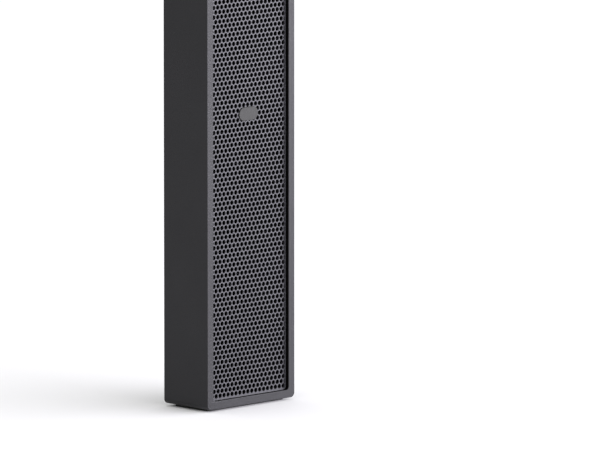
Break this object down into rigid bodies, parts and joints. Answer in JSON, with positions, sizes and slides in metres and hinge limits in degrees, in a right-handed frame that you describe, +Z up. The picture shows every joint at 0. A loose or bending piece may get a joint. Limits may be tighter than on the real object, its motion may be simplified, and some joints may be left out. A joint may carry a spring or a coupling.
{
  "type": "column loudspeaker",
  "caption": "Slim upright column loudspeaker with a line of small drivers behind a full-height perforated metal grille, a recessed rear terminal cup and bracket inserts.",
  "frame": {"origin": "middle of the foot pad's underside, on the floor", "axes": "+Z up along the column, -Y out of the grille, +X across the width"},
  "size_m": [0.098, 0.0506, 1],
  "materials": {
    "enclosure_paint": "fine-textured satin powder coat",
    "grille_paint": "fine-textured satin powder coat",
    "grille_foam": "matt open-cell foam",
    "badge_metal": "satin anodised",
    "rubber": "matt",
    "grille_seal": "closed-cell foam rubber, matt",
    "surround_rubber": "satin",
    "zinc_steel": "zinc plated",
    "black_steel": "black zinc plated",
    "basket_steel": "black",
    "ferrite": "matt",
    "cone_paper": "pulp, coated",
    "spider_cloth": "impregnated cloth",
    "aluminium": "mill finish",
    "block_polymer": "glass-filled",
    "baffle_steel": "black powder coat",
    "black_plastic": "moulded, satin",
    "connector_plastic": "glass-filled, matt",
    "knob_plastic": "satin",
    "switch_plastic": "satin",
    "tinned_copper": "tin plated",
    "wire_insulation": "satin",
    "lead_insulation": "satin",
    "board_laminate": "solder-masked",
    "copper_winding": "enamelled",
    "capacitor_film": "satin",
    "core_steel": "varnished laminations",
    "winding_tape": "satin tape"
  },
  "bodies": {
    "column": {"sleeve": "enclosure_paint", "foot_pad": "rubber", "front_grille": "grille_paint", "grille_channel": "grille_seal", "grille_gasket": "grille_seal", "grille_foam": "grille_foam", "badge": "badge_metal", "panel_screws": "black_steel", "baffle_screws": "black_steel", "rail_right": "aluminium", "rail_left": "aluminium", "bottom_block": "block_polymer", "top_block": "block_polymer", "base_insert": "zinc_steel", "baffle": "baffle_steel", "driver_baskets": "basket_steel", "driver_top_plates": "zinc_steel", "driver_magnets": "ferrite", "driver_yokes": "zinc_steel", "driver_surrounds": "surround_rubber", "driver_spiders": "spider_cloth", "driver_screws": "black_steel", "driver_terminals": "tinned_copper", "driver_leads": "lead_insulation", "wiring_trunk": "wire_insulation", "rear_panel": "enclosure_paint", "bracket_inserts": "zinc_steel", "terminal_cup": "black_plastic", "terminal_cup_screws": "black_steel", "input_connector": "connector_plastic", "link_connector": "connector_plastic", "connector_screws": "black_steel", "tap_selector_body": "black_plastic", "coverage_switch_body": "black_plastic", "crossover_board": "board_laminate", "crossover_standoffs": "zinc_steel", "crossover_coils": "copper_winding", "crossover_capacitors": "capacitor_film", "transformer_core": "core_steel", "transformer_coil": "winding_tape"},
    "cone_01": {"cone_01": "cone_paper"},
    "cone_02": {"cone_02": "cone_paper"},
    "cone_03": {"cone_03": "cone_paper"},
    "cone_04": {"cone_04": "cone_paper"},
    "cone_05": {"cone_05": "cone_paper"},
    "cone_06": {"cone_06": "cone_paper"},
    "cone_07": {"cone_07": "cone_paper"},
    "cone_08": {"cone_08": "cone_paper"},
    "cone_09": {"cone_09": "cone_paper"},
    "cone_10": {"cone_10": "cone_paper"},
    "cone_11": {"cone_11": "cone_paper"},
    "cone_12": {"cone_12": "cone_paper"},
    "tap_knob": {"tap_knob": "knob_plastic"},
    "coverage_slider": {"coverage_switch_slider": "switch_plastic"}
  },
  "joints": [
    {"name": "cone_01_travel", "type": "slide", "parent": "column", "child": "cone_01", "axis": [0, -1, 0], "range_m": [-0.0015, 0.0015], "stiffness_N_per_m": 1000, "deforming": ["driver_surrounds", "driver_spiders"]},
    {"name": "cone_02_travel", "type": "slide", "parent": "column", "child": "cone_02", "axis": [0, -1, 0], "range_m": [-0.0015, 0.0015], "stiffness_N_per_m": 1000},
    {"name": "cone_03_travel", "type": "slide", "parent": "column", "child": "cone_03", "axis": [0, -1, 0], "range_m": [-0.0015, 0.0015], "stiffness_N_per_m": 1000},
    {"name": "cone_04_travel", "type": "slide", "parent": "column", "child": "cone_04", "axis": [0, -1, 0], "range_m": [-0.0015, 0.0015], "stiffness_N_per_m": 1000},
    {"name": "cone_05_travel", "type": "slide", "parent": "column", "child": "cone_05", "axis": [0, -1, 0], "range_m": [-0.0015, 0.0015], "stiffness_N_per_m": 1000},
    {"name": "cone_06_travel", "type": "slide", "parent": "column", "child": "cone_06", "axis": [0, -1, 0], "range_m": [-0.0015, 0.0015], "stiffness_N_per_m": 1000},
    {"name": "cone_07_travel", "type": "slide", "parent": "column", "child": "cone_07", "axis": [0, -1, 0], "range_m": [-0.0015, 0.0015], "stiffness_N_per_m": 1000},
    {"name": "cone_08_travel", "type": "slide", "parent": "column", "child": "cone_08", "axis": [0, -1, 0], "range_m": [-0.0015, 0.0015], "stiffness_N_per_m": 1000},
    {"name": "cone_09_travel", "type": "slide", "parent": "column", "child": "cone_09", "axis": [0, -1, 0], "range_m": [-0.0015, 0.0015], "stiffness_N_per_m": 1000},
    {"name": "cone_10_travel", "type": "slide", "parent": "column", "child": "cone_10", "axis": [0, -1, 0], "range_m": [-0.0015, 0.0015], "stiffness_N_per_m": 1000},
    {"name": "cone_11_travel", "type": "slide", "parent": "column", "child": "cone_11", "axis": [0, -1, 0], "range_m": [-0.0015, 0.0015], "stiffness_N_per_m": 1000},
    {"name": "cone_12_travel", "type": "slide", "parent": "column", "child": "cone_12", "axis": [0, -1, 0], "range_m": [-0.0015, 0.0015], "stiffness_N_per_m": 1000},
    {"name": "tap_knob_turn", "type": "hinge", "parent": "column", "child": "tap_knob", "pos_m": [0, 0.015, 0.0575], "axis": [0, -1, 0], "range_deg": [-135, 135]},
    {"name": "coverage_slide", "type": "slide", "parent": "column", "child": "coverage_slider", "axis": [1, 0, 0], "range_m": [0, 0.004]}
  ],
  "couplings": [
    {"joint": "cone_02_travel", "follows": "cone_01_travel", "ratio": 1},
    {"joint": "cone_03_travel", "follows": "cone_01_travel", "ratio": 1},
    {"joint": "cone_04_travel", "follows": "cone_01_travel", "ratio": 1},
    {"joint": "cone_05_travel", "follows": "cone_01_travel", "ratio": 1},
    {"joint": "cone_06_travel", "follows": "cone_01_travel", "ratio": 1},
    {"joint": "cone_07_travel", "follows": "cone_01_travel", "ratio": 1},
    {"joint": "cone_08_travel", "follows": "cone_01_travel", "ratio": 1},
    {"joint": "cone_09_travel", "follows": "cone_01_travel", "ratio": 1},
    {"joint": "cone_10_travel", "follows": "cone_01_travel", "ratio": 1},
    {"joint": "cone_11_travel", "follows": "cone_01_travel", "ratio": 1},
    {"joint": "cone_12_travel", "follows": "cone_01_travel", "ratio": 1}
  ]
}
